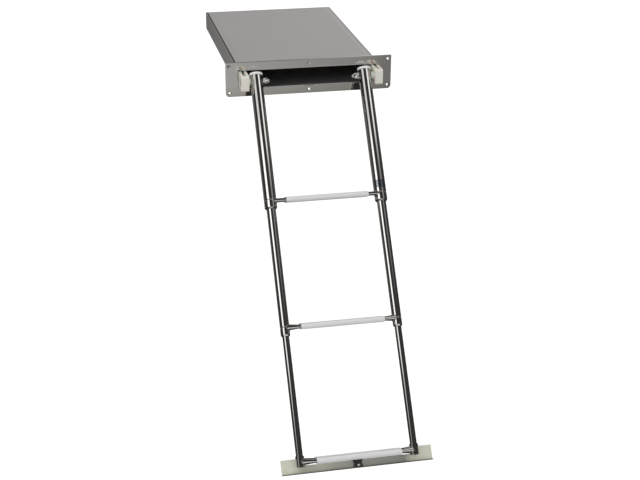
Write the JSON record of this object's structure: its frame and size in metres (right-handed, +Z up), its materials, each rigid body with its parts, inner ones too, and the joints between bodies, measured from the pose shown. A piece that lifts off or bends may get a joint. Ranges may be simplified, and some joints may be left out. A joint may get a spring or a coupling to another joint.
{
  "type": "telescopic ladder",
  "caption": "Telescopic boarding ladder that slides and folds out of a flat flanged steel cassette, with flattened rungs under plastic treads and a foot plate.",
  "frame": {"origin": "on the back face of the flange's upper lip, on the ladder's centre plane, 28 mm above the middle of the mouth", "axes": "+X along the flange to the right of the picture, +Y into the cassette, +Z up"},
  "size_m": [0.41, 1.1458, 0.8002],
  "materials": {
    "flange": "polished stainless sheet",
    "housing": "satin stainless sheet",
    "nylon": "ivory moulded nylon",
    "fastener": "bright polished",
    "tube": "polished stainless tube",
    "cap": "white moulded plastic",
    "bush": "grey plastic bush",
    "tread": "pale ribbed plastic",
    "foot": "polished stainless strip",
    "latch": "black plastic"
  },
  "bodies": {
    "cassette": {"flange_plate": "flange", "housing_tray": "housing", "housing_lid": "housing", "housing_back": "housing", "guide_block_left": "nylon", "pivot_bolt_left": "fastener", "pivot_spacer_left": "fastener", "pivot_nut_left": "fastener", "guide_block_right": "nylon", "pivot_bolt_right": "fastener", "pivot_spacer_right": "fastener", "pivot_nut_right": "fastener"},
    "upper": {"upper_tube_left": "tube", "upper_cap_left": "cap", "upper_bush_left": "bush", "upper_tube_right": "tube", "upper_cap_right": "cap", "upper_bush_right": "bush", "rung_1": "tube", "tread_1": "tread"},
    "middle": {"middle_tube_left": "tube", "middle_bush_left": "bush", "middle_tube_right": "tube", "middle_bush_right": "bush", "rung_2": "tube", "tread_2": "tread"},
    "lower": {"lower_tube_left": "tube", "foot_collar_left": "tube", "lower_tube_right": "tube", "foot_collar_right": "tube", "rung_3": "tube", "tread_3": "tread", "foot_plate": "foot", "latch_body": "latch", "latch_knob": "fastener"}
  },
  "joints": [
    {"name": "ladder_pivot", "type": "hinge", "parent": "cassette", "child": "upper", "pos_m": [0, -0.024, -0.028], "axis": [-1, 0, 0], "range_deg": [0, 53.5]},
    {"name": "middle_slide", "type": "slide", "parent": "upper", "child": "middle", "axis": [0, 0.5948, 0.8039], "range_m": [0, 0.252]},
    {"name": "lower_slide", "type": "slide", "parent": "middle", "child": "lower", "axis": [0, 0.5948, 0.8039], "range_m": [0, 0.262]}
  ]
}
